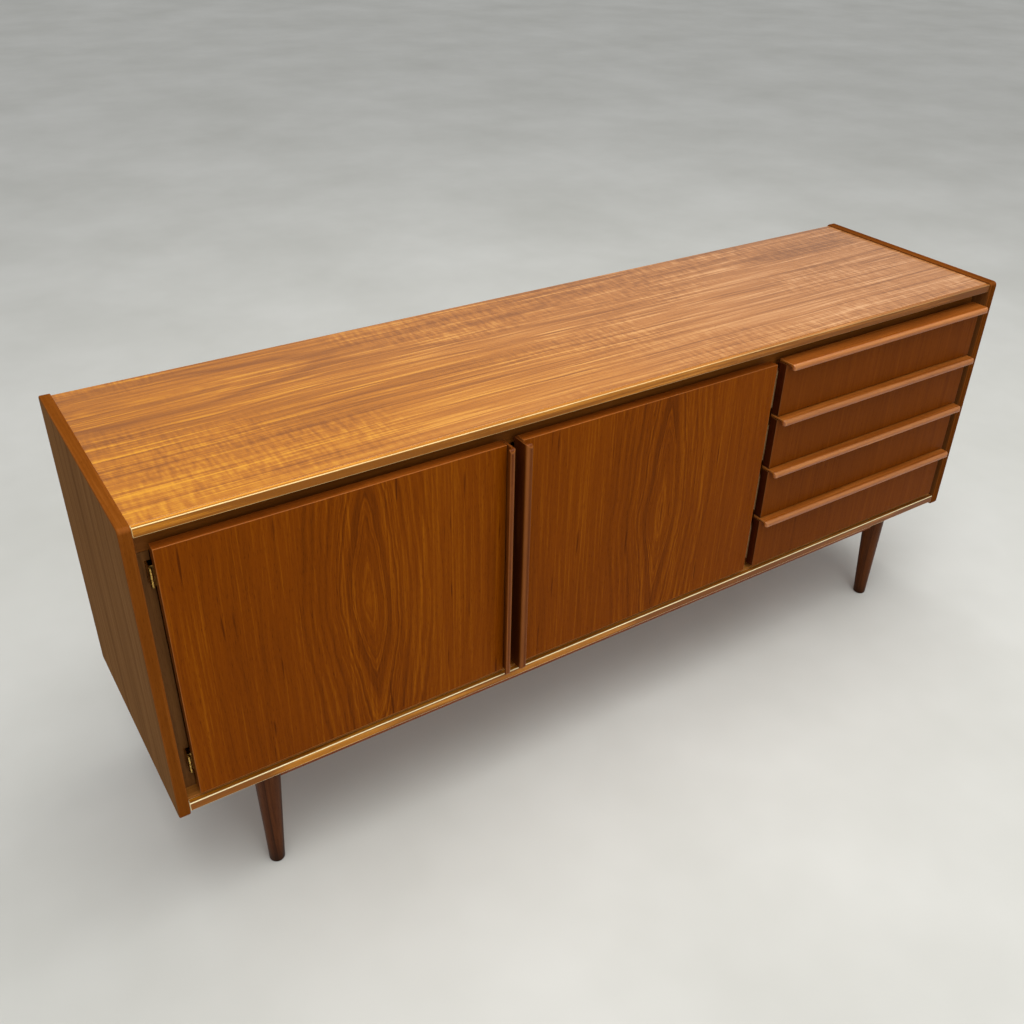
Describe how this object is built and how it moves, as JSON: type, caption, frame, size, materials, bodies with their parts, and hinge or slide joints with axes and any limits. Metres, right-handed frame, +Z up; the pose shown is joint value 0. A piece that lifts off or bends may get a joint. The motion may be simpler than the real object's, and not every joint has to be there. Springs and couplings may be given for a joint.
{
  "type": "sideboard buffet",
  "caption": "Low wooden sideboard on turned legs, with hinged doors beside a stack of drawers, full-length handle strips, and side panels that stand above the top.",
  "frame": {"origin": "on the floor, midway across the width and midway between the handle noses and the rear edges of the sides", "axes": "+X to the right seen from the front, -Y towards the front, +Z up"},
  "size_m": [1.83, 0.481, 0.7805],
  "materials": {
    "top_teak": "satin lacquered teak veneer, honey to orange brown, fine grain along the length",
    "side_teak": "satin teak veneer with vertical grain and solid edges",
    "front_teak": "satin teak veneer with vertical flame figure, deeper reddish brown",
    "solid_teak": "oiled solid teak, rounded edges",
    "inner_teak": "dull stained veneer inside the case and in the recess",
    "back_veneer": "plain stained plywood",
    "drawer_wood": "pale waxed drawer wood",
    "runner_wood": "bare waxed hardwood",
    "leg_wood": "dark stained turned hardwood, satin",
    "rail_wood": "stained hardwood, satin",
    "hinge_brass": "aged brass"
  },
  "bodies": {
    "case": {"side_left": "side_teak", "side_right": "side_teak", "top_front_lipping": "solid_teak", "top_panel": "top_teak", "bottom_front_lipping": "solid_teak", "bottom_panel": "inner_teak", "back_panel": "back_veneer", "head_rail": "inner_teak", "liner_left": "inner_teak", "liner_right": "inner_teak", "partition_left": "inner_teak", "partition_right": "inner_teak", "shelf_left": "inner_teak", "shelf_right": "inner_teak", "door_left_stop_block": "inner_teak", "door_right_stop_block": "inner_teak", "door_left_hinge_lower_case_leaf": "hinge_brass", "door_left_hinge_upper_case_leaf": "hinge_brass", "door_right_hinge_lower_case_leaf": "hinge_brass", "door_right_hinge_upper_case_leaf": "hinge_brass", "runner_1_left": "runner_wood", "runner_1_right": "runner_wood", "runner_2_left": "runner_wood", "runner_2_right": "runner_wood", "runner_3_left": "runner_wood", "runner_3_right": "runner_wood", "runner_4_left": "runner_wood", "runner_4_right": "runner_wood", "leg_front_left": "leg_wood", "leg_front_right": "leg_wood", "leg_back_left": "leg_wood", "leg_back_right": "leg_wood", "rail_front": "rail_wood", "rail_back": "rail_wood", "rail_left": "rail_wood", "rail_right": "rail_wood"},
    "door_left": {"door_left_panel": "front_teak", "door_left_handle": "solid_teak", "door_left_hinge_lower_door_leaf": "hinge_brass", "door_left_hinge_upper_door_leaf": "hinge_brass"},
    "door_right": {"door_right_panel": "front_teak", "door_right_handle": "solid_teak", "door_right_hinge_lower_door_leaf": "hinge_brass", "door_right_hinge_upper_door_leaf": "hinge_brass"},
    "drawer_1": {"drawer_1_front": "front_teak", "drawer_1_handle": "solid_teak", "drawer_1_box": "drawer_wood", "drawer_1_bottom": "drawer_wood"},
    "drawer_2": {"drawer_2_front": "front_teak", "drawer_2_handle": "solid_teak", "drawer_2_box": "drawer_wood", "drawer_2_bottom": "drawer_wood"},
    "drawer_3": {"drawer_3_front": "front_teak", "drawer_3_handle": "solid_teak", "drawer_3_box": "drawer_wood", "drawer_3_bottom": "drawer_wood"},
    "drawer_4": {"drawer_4_front": "front_teak", "drawer_4_handle": "solid_teak", "drawer_4_box": "drawer_wood", "drawer_4_bottom": "drawer_wood"}
  },
  "joints": [
    {"name": "door_left_swing", "type": "hinge", "parent": "case", "child": "door_left", "pos_m": [-0.88, -0.20425, 0.5015], "axis": [0, 0, -1], "range_deg": [0, 90]},
    {"name": "door_right_swing", "type": "hinge", "parent": "case", "child": "door_right", "pos_m": [0.29033, -0.20425, 0.5015], "axis": [0, 0, 1], "range_deg": [0, 90]},
    {"name": "drawer_1_slide", "type": "slide", "parent": "case", "child": "drawer_1", "axis": [0, -1, 0], "range_m": [0, 0.3]},
    {"name": "drawer_2_slide", "type": "slide", "parent": "case", "child": "drawer_2", "axis": [0, -1, 0], "range_m": [0, 0.3]},
    {"name": "drawer_3_slide", "type": "slide", "parent": "case", "child": "drawer_3", "axis": [0, -1, 0], "range_m": [0, 0.3]},
    {"name": "drawer_4_slide", "type": "slide", "parent": "case", "child": "drawer_4", "axis": [0, -1, 0], "range_m": [0, 0.3]}
  ]
}
